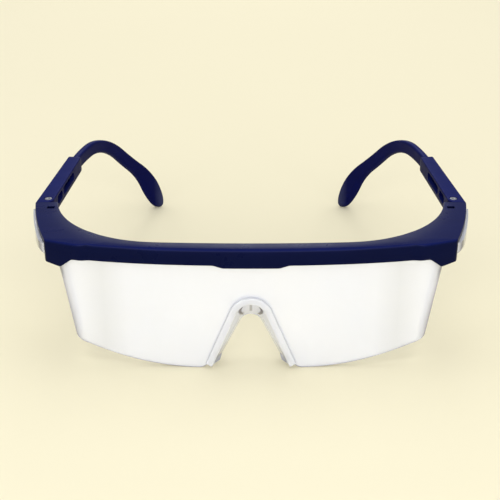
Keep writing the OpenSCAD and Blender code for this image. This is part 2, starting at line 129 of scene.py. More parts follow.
def brow_heading(x):
    """The angle at which the brow's curve runs back at x."""
    return math.degrees(math.atan(x / BROW_R * (1 + 2 * (x / BROW_WRAP) ** 2)))


CORNER_Y = brow_y(CORNER_X)


def front_y(x):
    """The frame's front edge: the brow's curve, with the corner block's facet a little proud of it."""
    rise = min(1.0, max(0.0, (x - FACET_START) / (FACET_X - FACET_START)))
    fall = min(1.0, max(0.0, (CORNER_X - x) / (CORNER_X - FACET_X)))
    return brow_y(x) - FACET_OUT * rise * fall


def side_x(y):
    """The outer side behind the corner, which bows slightly."""
    return CORNER_X + SIDE_SLOPE * (y - CORNER_Y) - SIDE_CURVE * (y - CORNER_Y) ** 2


JOINT_X = side_x(JOINT_Y)
PIN_X = JOINT_X - PIN_IN
PIN_Y = JOINT_Y + JOINT_GAP + KNUCKLE_R
MOUTH_X = JOINT_X - SLEEVE_L * math.tan(math.radians(SLANT))
MOUTH_Y = JOINT_Y + JOINT_GAP + SLEEVE_L
TIP_TURN = BEND_ANGLE + HOOK_ANGLE
TIP_REACH = math.hypot(TIP_L * sin(TIP_TURN), TIP_LOW * cos(TIP_TURN)) + (TIP_H / 2 - TIP_LOW) * cos(TIP_TURN)
DROP_L = (
    DROP - TIP_REACH + CHANNEL_Z - BEND_R * (1 - cos(BEND_ANGLE))
    - HOOK_R * (cos(BEND_ANGLE) - cos(TIP_TURN))
) / sin(BEND_ANGLE)


def mix(a, b, t):
    return a * (1 - t) + b * t


def smooth(t):
    """An eased step from 0 to 1."""
    t = min(1.0, max(0.0, t))
    return t * t * (3 - 2 * t)


def ramp(a, b, n):
    """The n + 1 evenly spaced values from a to b."""
    return [a + (b - a) * i / n for i in range(n + 1)]


def row(p):
    """A point in millimetres as the row frame's metres."""
    return Vector((p[0] / 1000, cad_lo[1] + p[1] / 1000, cad_hi[2] + p[2] / 1000))


# ---------------------------------------------------------------- mesh tools
LEVEL = 0.9999  # a face whose normal has this much of z is level


def rounded(points, radii, steps=4):
    """The closed ring of points with each corner rounded by its radius; always steps + 1 points a corner."""
    points = [Vector(p) for p in points]
    n, ring = len(points), []
    if not isinstance(radii, (list, tuple)):
        radii = [radii] * n
    for i, v in enumerate(points):
        a, c = points[i - 1] - v, points[(i + 1) % n] - v
        ra, rc = min(radii[i], 0.48 * a.length), min(radii[i], 0.48 * c.length)
        ea = a.normalized() * ra if a.length > 1e-9 else Vector((0, 0, 0))
        ec = c.normalized() * rc if c.length > 1e-9 else Vector((0, 0, 0))
        for s in range(steps + 1):
            w = 90 * s / steps
            ring.append(v + ea * (1 - sin(w)) + ec * (1 - cos(w)))
    return ring


def loft(rings, caps=True):
    """Vertices and faces of a skin over closed rings of equal length."""
    n = len(rings[0])
    verts = [tuple(p) for r in rings for p in r]
    faces = []
    for i in range(len(rings) - 1):
        for j in range(n):
            k = (j + 1) % n
            faces.append((i * n + j, i * n + k, (i + 1) * n + k, (i + 1) * n + j))
    if caps:
        last = (len(rings) - 1) * n
        faces.append(tuple(range(n - 1, -1, -1)))
        faces.append(tuple(last + j for j in range(n)))
    return verts, faces


def mesh_object(name, shape):
    """A clean, outward-facing mesh object from (verts, faces) in millimetres."""
    verts, faces = shape
    mesh = bpy.data.meshes.new(name)
    mesh.from_pydata([row(v) for v in verts], [], faces)
    bm = bmesh.new()
    bm.from_mesh(mesh)
    bmesh.ops.remove_doubles(bm, verts=bm.verts, dist=2e-6)
    bmesh.ops.dissolve_degenerate(bm, dist=1e-6, edges=bm.edges)
    bmesh.ops.recalc_face_normals(bm, faces=bm.faces)
    bm.to_mesh(mesh)
    bm.free()
    obj = bpy.data.objects.new(name, mesh)
    bpy.context.scene.collection.objects.link(obj)
    return obj


def combine(obj, other, operation):
    """Applies a boolean of obj with other, and removes other."""
    mod = obj.modifiers.new("cut", "BOOLEAN")
    mod.operation, mod.object, mod.solver = operation, other, "EXACT"
    dg = bpy.context.evaluated_depsgraph_get()
    made = bpy.data.meshes.new_from_object(obj.evaluated_get(dg))
    obj.modifiers.clear()
    old = obj.data
    obj.data = made
    bpy.data.meshes.remove(old)
    bpy.data.objects.remove(other)
    return obj


def finish_piece(obj, body, nodes, materials, angle=32):
    """Shades, dresses and hands over a finished piece; edges over angle stay crisp and level faces flat."""
    mesh = obj.data
    bm = bmesh.new()
    bm.from_mesh(mesh)
    bmesh.ops.remove_doubles(bm, verts=bm.verts, dist=1e-6)
    bmesh.ops.dissolve_degenerate(bm, dist=1e-6, edges=bm.edges)
    bm.to_mesh(mesh)
    bm.free()
    mesh.materials.clear()
    for material in materials:
        mesh.materials.append(material)
    for face in mesh.polygons:
        face.use_smooth = abs(face.normal.z) < LEVEL
    mesh.set_sharp_from_angle(angle=math.radians(angle))
    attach(obj, body)
    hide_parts(*nodes)
    return obj


def mirrored(shape):
    verts, faces = shape
    return [(-v[0], v[1], v[2]) for v in verts], [tuple(reversed(f)) for f in faces]


def on_side(side, shape):
    """The shape as it is on the wearer's left, side 1, or its mirror image on the right, side -1."""
    return shape if side > 0 else mirrored(shape)


def prism(plan, z0, z1, edge):
    """A vertical prism over a convex plan, with its top and bottom edges rounded by edge."""
    cx = sum(p[0] for p in plan) / len(plan)
    cy = sum(p[1] for p in plan) / len(plan)
    size = max(math.hypot(p[0] - cx, p[1] - cy) for p in plan)

    def ring(z, drawn_in):
        k = 1 - drawn_in / size
        return [(cx + (p[0] - cx) * k, cy + (p[1] - cy) * k, z) for p in plan]

    angles = ramp(0, 90, 3)
    return loft([ring(z0 + edge * (1 - cos(a)), edge * (1 - sin(a))) for a in angles]
                + [ring(z1 - edge * (1 - cos(a)), edge * (1 - sin(a))) for a in reversed(angles)])


def lathe(profile, centre, segments=48):
    """A solid turned about the vertical through centre; profile is (radius, z) from end to end."""
    turns = ramp(0, 360, segments)[:-1]
    return loft([[(centre[0] + r * cos(a), centre[1] + r * sin(a), z) for a in turns] for r, z in profile])


# ---------------------------------------------------------------- materials
class Nodes:
    """Short calls for building a node tree."""

    def __init__(self, name):
        self.mat = bpy.data.materials.new(name)
        self.mat.use_nodes = True
        self.tree = self.mat.node_tree
        self.tree.nodes.clear()
        output = self.add("ShaderNodeOutputMaterial")
        self.bsdf = self.add("ShaderNodeBsdfPrincipled")
        self.link(self.bsdf.outputs[0], output.inputs[0])
        self.coord = self.add("ShaderNodeTexCoord").outputs["Object"]

    def add(self, kind, **values):
        node = self.tree.nodes.new(kind)
        for k, v in values.items():
            setattr(node, k, v)
        return node

    def link(self, a, b):
        self.tree.links.new(a, b)

    def noise(self, scale, detail=2.0, rough=0.5, coord=None):
        n = self.add("ShaderNodeTexNoise")
        n.inputs["Scale"].default_value = scale
        n.inputs["Detail"].default_value = detail
        n.inputs["Roughness"].default_value = rough
        self.link(coord or self.coord, n.inputs["Vector"])
        return n.outputs["Fac"]

    def scaled(self, x, y, z):
        """The object's coordinates, stretched for a noise of scale 1."""
        n = self.add("ShaderNodeMapping")
        n.inputs["Scale"].default_value = (x, y, z)
        self.link(self.coord, n.inputs["Vector"])
        return n.outputs[0]

    def ranged(self, value, a, b, lo, hi):
        """value taken from a..b to lo..hi, and held at the ends."""
        n = self.add("ShaderNodeMapRange")
        for k, v in zip((1, 2, 3, 4), (a, b, lo, hi)):
            n.inputs[k].default_value = v
        self.link(value, n.inputs[0])
        return n.outputs[0]

    def blend(self, factor, a, b):
        """The colour from a, at factor 0, to b; each is a socket or a plain tuple."""
        n = self.add("ShaderNodeMix", data_type="RGBA")
        self.link(factor, n.inputs[0])
        for socket, v in ((n.inputs[6], a), (n.inputs[7], b)):
            if isinstance(v, tuple):
                socket.default_value = (*v, 1)
            else:
                self.link(v, socket)
        return n.outputs[2]

    def parts(self, vector):
        n = self.add("ShaderNodeSeparateXYZ")
        self.link(vector, n.inputs[0])
        return n.outputs

    def size_of(self, value):
        n = self.add("ShaderNodeMath", operation="ABSOLUTE")
        self.link(value, n.inputs[0])
        return n.outputs[0]

    def shifted(self, value, by):
        n = self.add("ShaderNodeMath", operation="ADD")
        self.link(value, n.inputs[0])
        n.inputs[1].default_value = by
        return n.outputs[0]

    def product(self, a, b):
        n = self.add("ShaderNodeMath", operation="MULTIPLY")
        self.link(a, n.inputs[0])
        self.link(b, n.inputs[1])
        return n.outputs[0]

    def bump(self, height, strength, distance, normal=None):
        n = self.add("ShaderNodeBump")
        n.inputs["Strength"].default_value = strength
        n.inputs["Distance"].default_value = distance
        self.link(height, n.inputs["Height"])
        if normal:
            self.link(normal, n.inputs["Normal"])
        return n.outputs[0]

    def facing(self):
        """The surface normal's x, y and z."""
        return self.parts(self.add("ShaderNodeNewGeometry").outputs["Normal"])

    def set(self, **values):
        """Fixed values for the shader's sockets, with _ for a space in their names."""
        for k, v in values.items():
            self.bsdf.inputs[k.replace("_", " ")].default_value = v


def back(y):
    """The row frame's y, in metres, at y millimetres behind the front."""
    return cad_lo[1] + y / 1000


def height(z):
    """The row frame's height, in metres, at z millimetres from the frame's top."""
    return cad_hi[2] + z / 1000


def moulded_plastic(name, side, top, turn, rough, grain, gloss, tip_light=None):
    """Dark moulded nylon with faint flow marks and a fine grain, with painted light: the sides get the darker
    side tone and faces that look up the lighter top tone; turn gives how far a face looks up where side
    becomes top, and the last argument is a lighter tone painted at the ends of the ear pieces."""
    m = Nodes(name)
    flow = m.noise(1, 3, 0.55, m.scaled(60, 180, 260))
    fine = m.noise(2600, 2)
    up = m.facing()[2]
    # Painted light: faces that look up get the lighter top tone, and the sides the darker side tone.
    tone = m.blend(m.ranged(up, *turn, 0, 1), side, top)
    # Painted light: the ends of the ear pieces fade to a lighter tone.
    if tip_light:
        from_middle, end = m.size_of(m.parts(m.coord)[0]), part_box("temple_arm_left")[0][0]
        tip_full, tip_gone = end + 0.0005, end + 0.0045
        tone = m.blend(m.ranged(from_middle, tip_full, tip_gone, 1, 0), tone, tip_light)
    streaks = m.ranged(flow, 0.35, 0.65, 0.0, 0.12)
    m.link(m.blend(streaks, tone, (0.0, 0.0, 0.01)), m.bsdf.inputs["Base Color"])
    smudge = m.noise(140, 4, 0.6)
    m.link(m.ranged(smudge, 0.3, 0.7, rough - 0.05, rough + 0.07), m.bsdf.inputs["Roughness"])
    normal = m.bump(fine, grain, 0.00003)
    m.link(m.bump(flow, 0.04, 0.00006, normal), m.bsdf.inputs["Normal"])
    m.set(IOR=1.5, Specular_IOR_Level=gloss)
    return m.mat


def clear_plastic(name, tint, haze, rough, veil, shade=None):
    """Polished clear plastic with a faint haze; veil is how milky it is, and shade tints parts of it."""
    m = Nodes(name)
    cloud = m.noise(45, 3, 0.5)
    colour = m.blend(m.ranged(cloud, 0.3, 0.7, 0, 1), tint, haze)
    if shade:
        colour = shade(m, colour)
    m.link(colour, m.bsdf.inputs["Base Color"])
    wipe = m.noise(1, 4, 0.6, m.scaled(30, 220, 400))
    m.link(m.ranged(wipe, 0.3, 0.75, rough, rough + 0.05), m.bsdf.inputs["Roughness"])
    m.link(m.bump(m.noise(900, 2), 0.04, 0.00002), m.bsdf.inputs["Normal"])
    m.set(IOR=1.5, Transmission_Weight=1 - veil)
    return m.mat


def lens_shade(m, colour):
    """The lens's painted light and shade: a soft grey glare band of painted reflection beside each front
    corner, greyer corners of painted shade where the sheet faces sideways, and a dark strip of painted shade
    behind each corner block."""
    glare_x, glare_half = 0.0495, 0.008
    x, y, z = m.parts(m.coord)
    sideways = m.ranged(m.size_of(m.facing()[0]), 0.6, 0.95, 0, 1)

    def ahead_of(full, gone):
        return m.ranged(y, back(full), back(gone), 1, 0)

    # Painted reflection: a soft grey band beside each front corner.
    beside = m.size_of(m.shifted(m.size_of(x), -glare_x))
    glare = m.product(m.ranged(beside, 0.0, glare_half, 0.5, 0), ahead_of(12, 14))
    # Painted shade: the corners of the sheet that face sideways are greyer.
    corner = m.product(sideways, ahead_of(12, 18))
    # Painted shade: a dark strip on the upper side of the sheet behind each corner block.
    high = m.ranged(z, height(-16), height(-12), 0, 1)
    strip = m.product(m.product(sideways, ahead_of(22, 30)), high)
    colour = m.blend(glare, colour, (0.76, 0.77, 0.80))
    colour = m.blend(corner, colour, (0.62, 0.61, 0.72))
    return m.blend(strip, colour, (0.17, 0.17, 0.19))


def saddle_shade(m, colour):
    """Painted shade: the sheet behind the clip greyed to lavender, dark crescents beside the arch, a grey
    line down its middle, darker lower wall ends.
    """
    ring_z, ring_r, flatten = -25.2, 0.0037, 0.8
    line_full, line_gone = 0.0003, 0.0006
    x, y, z = m.parts(m.coord)
    side = m.size_of(x)
    behind = m.ranged(y, back(2.8), back(3.4), 0, 1)
    centre = m.add("ShaderNodeMapping")
    centre.inputs["Location"].default_value = (0, 0, -flatten * height(ring_z))
    centre.inputs["Scale"].default_value = (1, 0, flatten)
    m.link(m.coord, centre.inputs["Vector"])
    length = m.add("ShaderNodeVectorMath", operation="LENGTH")
    m.link(centre.outputs[0], length.inputs[0])
    ring = m.size_of(m.shifted(length.outputs["Value"], -ring_r))
    beside = m.ranged(side, 0.0022, 0.0029, 0, 1)
    above = m.ranged(z, height(-27.5), height(-26.5), 0, 1)
    crescent_shade = m.product(m.ranged(ring, line_full, line_gone, 1, 0), beside)
    rib_shade = m.product(m.ranged(side, line_full, line_gone, 1, 0), above)
    low = m.ranged(z, height(-42.5), height(-37), 1, 0)
    # Painted shade: the sheet behind the clip is greyed towards lavender.
    colour = m.blend(behind, colour, (0.83, 0.86, 1.0))
    # Painted shade: darker lower ends of the walls, a grey line down the middle, and a dark crescent at each
    # side of the arch.
    for part, tint in ((low, (0.60, 0.60, 0.64)), (rib_shade, (0.50, 0.50, 0.54)), (crescent_shade, (0.07, 0.06, 0.11))):
        colour = m.blend(m.product(behind, part), colour, tint)
    return colour


def steel(name):
    """Turned steel with a fine grain, drawn out along the pin."""
    m = Nodes(name)
    grain = m.noise(1, 3, 0.6, m.scaled(3000, 3000, 400))
    tone = m.blend(m.ranged(grain, 0.3, 0.7, 0, 1), (0.20, 0.205, 0.23), (0.30, 0.305, 0.33))
    m.link(tone, m.bsdf.inputs["Base Color"])
    m.link(m.ranged(grain, 0.3, 0.7, 0.28, 0.42), m.bsdf.inputs["Roughness"])
    m.link(m.bump(grain, 0.12, 0.00002), m.bsdf.inputs["Normal"])
    m.set(Metallic=1.0)
    return m.mat


# Painted light: in both navy finishes the sides get the darker side tone and faces that look up the lighter
# top tone; the temples' ear pieces are also painted lighter at their ends.
FRAME_NAVY = moulded_plastic("frame_navy", side=(0.0007, 0.0026, 0.025), top=(0.0035, 0.0072, 0.066),
                             turn=(0.05, 0.5), rough=0.3, grain=0.2, gloss=0.05)
TEMPLE_NAVY = moulded_plastic("temple_navy", side=(0.0030, 0.0045, 0.055), top=(0.0075, 0.0120, 0.098),
                              turn=(0.5, 0.95), rough=0.38, grain=0.25, gloss=0.02,
                              tip_light=(0.045, 0.050, 0.115))
LENS_CLEAR = clear_plastic("lens_clear", tint=(0.905, 0.925, 1.0), haze=(0.925, 0.94, 1.0),
                           rough=0.02, veil=0.48, shade=lens_shade)
# Painted shade: the lens's rim faces and the lower part of each corner's turn are painted grey, for the dark
# look of clear plastic's edges.
LENS_EDGE_SHADE = clear_plastic("lens_edge_shade", tint=(0.42, 0.42, 0.52), haze=(0.48, 0.48, 0.58), rough=0.12, veil=0.6)
SADDLE_CLEAR = clear_plastic("saddle_clear", tint=(0.92, 0.94, 1.0), haze=(0.95, 0.96, 1.0),
                             rough=0.06, veil=0.49, shade=saddle_shade)
PIN_STEEL = steel("pin_steel")


# ---------------------------------------------------------------- brow frame
def inner_edge(x):
    """The shelf's inner edge over the middle, at x up to the arc's start."""
    return mix(INNER_MID_Y, INNER_Y, (x / INNER_X) ** 2)


def inner_arc(y):
    """The shelf's inner edge beside the middle, where it swings back to the hinge."""
    return INNER_X + math.sqrt(max(0.0, INNER_R**2 - (INNER_Y + INNER_R - y) ** 2))


def front_inner(x):
    """The inner edge's point that faces x on the front, drawn in towards the corner."""
    end = math.asin((INNER_TURN_Y - INNER_Y - INNER_R) / INNER_R)
    if x <= INNER_X:
        return Vector((x, inner_edge(x)))
    a = mix(-math.pi / 2, end, smooth((x - INNER_X) / (CORNER_X - INNER_X)) ** 0.9)
    return Vector((INNER_X + INNER_R * math.cos(a), INNER_Y + INNER_R + INNER_R * math.sin(a)))


def fascia_bottom(x):
    """Bottom of the front face at x, with the corners of its outline eased."""
    knots = [(0, TAB_H), (TAB_HALF, TAB_H), (TAB_HALF + TAB_SLANT, FASCIA_H), (BLOCK_IN_X, FASCIA_H),
             (BLOCK_TIP_X, BLOCK_H), (BLOCK_OUT_X, BLOCK_OUT_H), (CORNER_X + 9, BLOCK_OUT_H)]

    def exact(v):
        v = abs(v)
        for (x0, h0), (x1, h1) in zip(knots, knots[1:]):
            if v <= x1:
                return mix(h0, h1, (v - x0) / (x1 - x0))
        return knots[-1][1]

    return -sum(exact(x + d) for d in (-0.5, -0.25, 0, 0.25, 0.5)) / 5


def frame_ring(outer, fascia, lip_in, lip_out, inner, fascia_z, lip_z, crease=EDGE_R):
    """Section of the frame from its outer edge to its inner edge; fascia is the front face's back,
    lip_in and lip_out are the lip's two sides, and crease rounds the front's top edge."""
    under = -SHELF_T
    fascia_z, lip_z = min(fascia_z, under), min(lip_z, under)
    deep, lip = 0.4 * (under - fascia_z), 0.4 * (under - lip_z)
    solid_end = (lip_out - inner).length < 1e-6
    corners = [
        ((*mix(outer, inner, 0.5), 0), 0),
        ((*outer, 0), crease),
        ((*outer, fascia_z), LOWER_EDGE_R),
        ((*fascia, fascia_z), min(0.25, deep)),
        ((*fascia, under), min(0.15, deep)),
        ((*lip_in, under), min(0.15, lip)),
        ((*lip_in, lip_z), min(0.2, lip)),
        ((*lip_out, lip_z), min(0.2, lip)),
        ((*lip_out, under), 0 if solid_end else min(0.15, lip)),
        ((*inner, under), 0 if solid_end else LOWER_EDGE_R),
        ((*inner, 0), EDGE_R),
    ]
    return rounded([point for point, _ in corners], [radius for _, radius in corners], 4)


def front_rings(start):
    """Sections from the middle to start, closer together where the outline turns."""
    lip_round = 0.8

    def lip_bottom(x):
        if x < LIP_HALF - lip_round:
            return -LIP_H
        if x > LIP_HALF:
            return -SHELF_T
        return -SHELF_T - (LIP_H - SHELF_T) * math.sqrt(1 - ((x - LIP_HALF + lip_round) / lip_round) ** 2)

    tab_end = TAB_HALF + TAB_SLANT
    xs = (ramp(0, TAB_HALF - 0.9, 6) + ramp(TAB_HALF - 0.6, tab_end + 0.7, 14)
          + ramp(tab_end + 2, LIP_HALF - 1.5, 18) + ramp(LIP_HALF - 0.9, LIP_HALF + 0.1, 8)
          + ramp(LIP_HALF + 1, BLOCK_IN_X - 1.2, 9) + ramp(BLOCK_IN_X - 0.8, start.x, 30))
    rings = []
    for x in xs:
        inner = front_inner(x)
        outer = Vector((x, front_y(x)))
        fascia = Vector((min(x, FASCIA_END_X), brow_y(min(x, FASCIA_END_X)) + FASCIA_T))
        lip_y = brow_y(x) + FASCIA_T + GROOVE_W
        fade = smooth((x - LIP_HALF) / LIP_FADE)
        lip_in = mix(Vector((x, lip_y)), mix(fascia, inner, 0.35), fade)
        lip_out = mix(Vector((x, min(lip_y + LIP_T, inner.y - 0.02))), mix(fascia, inner, 0.65), fade)
        rings.append(frame_ring(outer, fascia, lip_in, lip_out, inner, fascia_bottom(x), lip_bottom(x),
                                FACET_EDGE_R))
    return rings


def side_rings(fascia_end, first_y):
    """Sections from the corner back to the hinge."""
    block_y, wall_round = CORNER_Y + FASCIA_T - 0.1, 0.4
    solid_y = JOINT_Y - END_LEN
    ys = (ramp(first_y, block_y - BLOCK_ROUND, 2)[1:]
          + [block_y - BLOCK_ROUND + BLOCK_ROUND * sin(a) for a in (22.5, 45, 67.5, 90)]
          + ramp(block_y + 0.1, block_y + 1.6, 4) + ramp(14, WALL_Y - 0.6, 10)
          + ramp(WALL_Y - 0.45, WALL_Y + 0.35, 8) + ramp(WALL_Y + 1, 35, 10)
          + [solid_y - 0.02, solid_y] + ramp(36, JOINT_Y, 5))
    rings = []
    for y in ys:
        outer = Vector((side_x(y), y))
        inner_y = y + (INNER_TURN_Y - first_y) * (1 - smooth((y - first_y) / 14))
        inner = Vector((inner_arc(inner_y), inner_y))
        into_block = min(1.0, max(0.0, (y - block_y + BLOCK_ROUND) / BLOCK_ROUND))
        fascia_z = -SHELF_T - (BLOCK_OUT_H - SHELF_T) * math.sqrt(1 - into_block**2)
        fascia = mix(fascia_end, outer + Vector((-0.45, 0)), smooth((y - block_y) / 1.5))
        to_wall = smooth((y - block_y) / 6)
        lip_in = mix(mix(fascia_end, inner, 0.35), outer + Vector((-WALL_IN, 0)), to_wall)
        lip_out = mix(mix(fascia_end, inner, 0.65), outer + Vector((-WALL_IN - WALL_T, 0)), to_wall)
        if y >= solid_y - 1e-6:
            lip_out, lip_z = inner, -END_H
        else:
            into_wall = min(1.0, max(0.0, (y - WALL_Y) / wall_round))
            lip_z = -SHELF_T - (WALL_H - SHELF_T) * math.sqrt(1 - (1 - into_wall) ** 2)
        rings.append(frame_ring(outer, fascia, lip_in, lip_out, inner, fascia_z, lip_z))
    return rings


def frame_half():
    """Sections of the frame's left half, from the middle round the eased corner to the hinge."""
    corner = Vector((CORNER_X, CORNER_Y))
    start = corner - CORNER_EASE * Vector((cos(brow_heading(CORNER_X)), sin(brow_heading(CORNER_X))))
    end = corner + CORNER_EASE * Vector((SIDE_SLOPE, 1)).normalized()
    fascia_end = Vector((FASCIA_END_X, brow_y(FASCIA_END_X) + FASCIA_T))
    inner = front_inner(CORNER_X)
    turn = []
    for t in ramp(0, 1, 8)[1:]:
        outer = start * (1 - t) ** 2 + corner * 2 * t * (1 - t) + end * t**2
        turn.append(frame_ring(outer, fascia_end, mix(fascia_end, inner, 0.35), mix(fascia_end, inner, 0.65),
                               inner, -BLOCK_OUT_H, -SHELF_T, mix(FACET_EDGE_R, EDGE_R, t)))
    return front_rings(start) + turn + side_rings(fascia_end, end.y)


def both_sides(half):
    """All sections from the right end to the left end, from those of the left half."""
    left = [[Vector((-p[0], p[1], p[2])) for p in r] for r in reversed(half)]
    return left + half[1:]


def make_frame():
    frame_obj = mesh_object("brow_frame_shell", loft(both_sides(frame_half())))
    root_y = JOINT_Y - 0.6
    tongue_plan = ([(PIN_X + TONGUE_R, root_y), (PIN_X + TONGUE_R, PIN_Y)]
                   + [(PIN_X + TONGUE_R * cos(a), PIN_Y + TONGUE_R * sin(a)) for a in ramp(0, 180, 32)[1:-1]]
                   + [(PIN_X - TONGUE_R, PIN_Y), (PIN_X - TONGUE_R, root_y)])
    tongue = prism(tongue_plan, TONGUE_Z - TONGUE_T / 2, TONGUE_Z + TONGUE_T / 2, 0.2)
    bore = lathe([(PIN_R, -END_H - 1), (PIN_R, 0)], (PIN_X, PIN_Y))

    def opening(x0, x1, top):
        y0, y1 = WINDOW_Y - WINDOW_L / 2, WINDOW_Y + WINDOW_L / 2
        return prism([(x0, y0), (x1, y0), (x1, y1), (x0, y1)], -SHELF_T - WINDOW_DROP, top, 0.02)

    window = opening(WINDOW_X - WINDOW_W / 2, WINDOW_X + WINDOW_W / 2, 1)
    slit = opening(WINDOW_X, side_x(WINDOW_Y) + TAB_PAST_SIDE - WALL_IN, -SHELF_T - 0.01)
    steps = ((tongue, "UNION"), (bore, "DIFFERENCE"), (window, "DIFFERENCE"), (slit, "DIFFERENCE"))
    for shape, operation in steps:
        for side in (1, -1):
            combine(frame_obj, mesh_object("tool", on_side(side, shape)), operation)
    return finish_piece(frame_obj, "front", ["brow_frame"], [FRAME_NAVY])


make_frame()


# ---------------------------------------------------------------- lens
def nose_leg():
    """Length of the cut-out's straight side, between the arch above and the foot's arc below."""
    return (DROP - NOSE_TOP - (NOSE_R + FOOT_R) * (1 - cos(NOSE_SLOPE))) / sin(NOSE_SLOPE)


NOSE_FOOT_X = (NOSE_R + FOOT_R) * sin(NOSE_SLOPE) + nose_leg() * cos(NOSE_SLOPE)


def nose_arch(n, foot_turn):
    """Right half of the nose cut-out as (x, z), moved by n towards the nose."""
    r, centre_z = NOSE_R - n, -NOSE_TOP - NOSE_R
    pts = [(r * cos(a), centre_z + r * sin(a)) for a in ramp(90, 90 - NOSE_SLOPE, ARCH_STEPS)]
    x, z = r * sin(NOSE_SLOPE), centre_z + r * cos(NOSE_SLOPE)
    pts += [(x + nose_leg() * cos(NOSE_SLOPE) * t, z - nose_leg() * sin(NOSE_SLOPE) * t)
            for t in ramp(0, 1, LEG_STEPS)[1:]]
    for a in ramp(90 - NOSE_SLOPE, 90 - NOSE_SLOPE + foot_turn, FOOT_STEPS)[1:]:
        pts.append((NOSE_FOOT_X - (FOOT_R + n) * cos(a), -DROP + FOOT_R - (FOOT_R + n) * sin(a)))
    return pts


def shoulder(z, t):
    """How much of the upper outline there is at z, 1 at the top; t runs back along the side."""
    a, b = mix(SHOULDER_FRONT[0], SHOULDER_REAR[0], t), mix(SHOULDER_FRONT[1], SHOULDER_REAR[1], t)
    return 1 - smooth((-z - a) / (b - a))


def low_x(z):
    """Where the sheet starts to turn back at z, below the shoulder."""
    return LOW_TURN_X + SIDE_TAPER * (z - LOW_TURN_Z)


def front_point(x, inset):
    """Plan point of the lens's front, inset from its outer face."""
    h = brow_heading(x)
    return Vector((x - inset * sin(h), brow_y(x) + LENS_Y + inset * cos(h)))


def turn_point(x, r, end, t, inset):
    """Plan point at t of the turn that starts at x, has radius r and ends at heading end."""
    start = brow_heading(x)
    h = mix(start, end, t)
    p = front_point(x, 0) + r * Vector((sin(h) - sin(start), cos(start) - cos(h)))
    return p + inset * Vector((-sin(h), cos(h)))


def upper_side(t, inset):
    """Plan point at t of the side below the frame, where it runs out to the frame's own side."""
    a = turn_point(TOP_TURN_X, TOP_TURN_R, TOP_TURN_END, 1, 0)
    b = a + UPPER_BEND * Vector((cos(TOP_TURN_END), sin(TOP_TURN_END)))
    c = Vector((side_x(SHIELD_END_Y) + LENS_PROUD, SHIELD_END_Y))
    d = mix(b - a, c - b, t).normalized()
    return mix(mix(a, b, t), mix(b, c, t), t) + inset * Vector((-d.y, d.x))


def lower_side(z, t, inset):
    """Plan point at t of the side below the shoulder, which is straight."""
    a = turn_point(low_x(z), LOW_TURN_R, LOW_TURN_END, 1, 0)
    run = (SHIELD_END_Y - a.y) / sin(LOW_TURN_END)
    return (a + t * run * Vector((cos(LOW_TURN_END), sin(LOW_TURN_END)))
            + inset * Vector((-sin(LOW_TURN_END), cos(LOW_TURN_END))))


def front_bottom(x):
    return -DROP + BOTTOM_RISE * max(0, x - NOSE_FOOT_X) ** 2


def side_bottom(y):
    return -LENS_TOP - SHIELD_H * math.sqrt(1 - ((y - SHIELD_MID_Y) / SHIELD_REACH) ** 2)


def lens_ring(column, bottom):
    """One upright section: down the outer face, round the rim, and back up the inner face."""
    zs = [mix(-LENS_TOP, bottom + RIM, v**1.15) for v in ramp(0, 1, 34)]
    ring = [(*column(z, 0), z) for z in zs]
    for a in (30, 60, 90):
        ring.append((*column(bottom, RIM * (1 - cos(a))), bottom + RIM * (1 - sin(a))))
    for a in (90, 60, 30):
        ring.append((*column(bottom, LENS_T - RIM * (1 - cos(a))), bottom + RIM * (1 - sin(a))))
    ring += [(*column(z, LENS_T), z) for z in reversed(zs)]
    return ring


def lens_half():
    """Sections of the lens's left half: over the nose, along the front, round the corner, down the side."""
    corner = low_x(LOW_CORNER_Z)

    def front(z, inset, t):
        return front_point(mix(NOSE_FOOT_X, mix(low_x(z), TOP_TURN_X, shoulder(z, 0)), t), inset)

    def turn(z, inset, t):
        return mix(turn_point(low_x(z), LOW_TURN_R, LOW_TURN_END, t, inset),
                   turn_point(TOP_TURN_X, TOP_TURN_R, TOP_TURN_END, t, inset), shoulder(z, 0))

    def shield(z, inset, t):
        return mix(lower_side(z, t, inset), upper_side(t, inset), shoulder(z, t))

    rings = [lens_ring(lambda z, i, x=x: front_point(x, i), bottom) for x, bottom in nose_arch(0, NOSE_SLOPE)]
    rings += [lens_ring(lambda z, i, t=t: front(z, i, t), front_bottom(mix(NOSE_FOOT_X, corner, t)))
              for t in ramp(0, 1, 40)[1:]]
    rings += [lens_ring(lambda z, i, t=t: turn(z, i, t),
                        mix(front_bottom(corner), side_bottom(SHIELD_START_Y), t))
              for t in ramp(0, 1, 22)[1:]]
    rings += [lens_ring(lambda z, i, t=t: shield(z, i, t), side_bottom(mix(SHIELD_START_Y, SHIELD_END_Y, t)))
              for t in (1 - (1 - v) ** 1.3 for v in ramp(0, 1, 44)[1:])]
    return rings


def box_shape(x0, x1, y0, y1, z0, z1, edge):
    """A box with rounded edges."""
    def ring(x, d):
        return rounded([(x, y0 + d, z0 + d), (x, y1 - d, z0 + d), (x, y1 - d, z1 - d), (x, y0 + d, z1 - d)],
                       edge, 3)

    return loft([ring(x0, edge * 0.7), ring(x0 + edge * 0.3, edge * 0.3), ring(x0 + edge, 0),
                 ring(x1 - edge, 0), ring(x1 - edge * 0.3, edge * 0.3), ring(x1, edge * 0.7)])


def bottom_height(x, y):
    """The height of the rim at a point of the lens, which is taken as turn_rise higher in the turn of the
    corner, so that the turn's lower part gets the rim's painted shade."""
    turn_rise = 12
    if y > SHIELD_START_Y:
        return side_bottom(min(y, SHIELD_END_Y))
    if x > low_x(LOW_CORNER_Z):
        return front_bottom(low_x(LOW_CORNER_Z)) + turn_rise
    if x > NOSE_FOOT_X:
        return front_bottom(x)
    arch = nose_arch(0, NOSE_SLOPE)
    for (x0, z0), (x1, z1) in zip(arch, arch[1:]):
        if x <= x1:
            return mix(z0, z1, (x - x0) / max(x1 - x0, 1e-9))
    return -DROP


